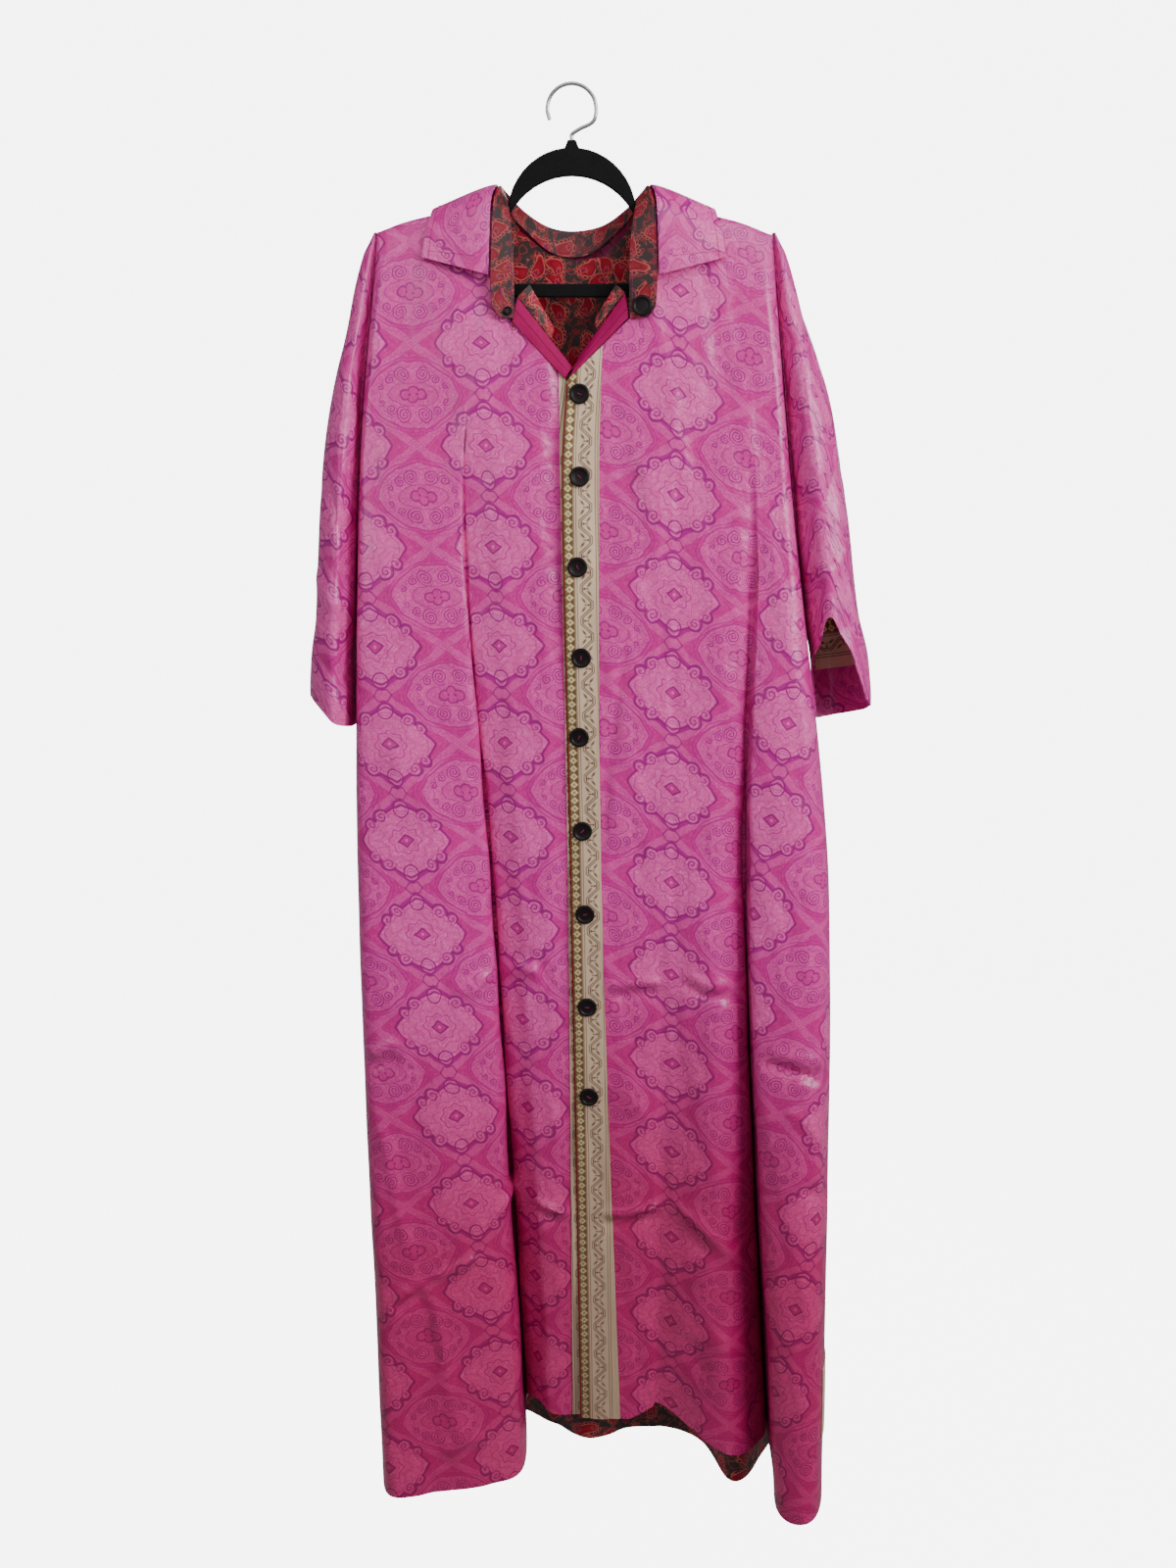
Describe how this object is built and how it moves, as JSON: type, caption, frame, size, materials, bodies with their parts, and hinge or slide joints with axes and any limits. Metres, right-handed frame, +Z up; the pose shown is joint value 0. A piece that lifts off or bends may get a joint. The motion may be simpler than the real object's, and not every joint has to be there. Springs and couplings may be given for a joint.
{
  "type": "kaftan on a hanger",
  "caption": "Long kaftan of patterned satin with a laid-open collar, a buttoned front border and wide elbow-length sleeves, hung on a flat clothes hanger.",
  "frame": {"origin": "inside top of the hanger's hook, where a rail carries it", "axes": "+Z up, -Y towards the front of the garment, +X to the viewer's right (the wearer's left)"},
  "size_m": [0.5827, 0.2145, 1.5098],
  "materials": {
    "satin": "satin weave, patterned",
    "paisley": "satin lining, patterned",
    "magenta": "satin facing, plain",
    "border": "woven band",
    "horn": "dull polish",
    "velvet": "matt",
    "steel": "polished wire"
  },
  "bodies": {
    "root": {"front_right": "satin", "front_left": "satin", "back_shoulders": "satin", "back_right": "satin", "back_left": "satin", "border_left": "border", "border_right": "border", "lining_neck": "paisley", "lining_hem": "paisley", "sleeve_right": "satin", "sleeve_left": "satin", "border_sleeve": "border", "border_side": "border", "collar_stand": "satin", "collar_leaf": "satin", "lining_stand": "paisley", "facing_right": "magenta", "facing_left": "magenta", "lining_right": "paisley", "lining_left": "paisley", "button_1": "horn", "button_2": "horn", "button_3": "horn", "button_4": "horn", "button_5": "horn", "button_6": "horn", "button_7": "horn", "button_8": "horn", "button_9": "horn", "button_collar": "horn", "hanger_body": "velvet", "hanger_hook": "steel"}
  },
  "joints": []
}
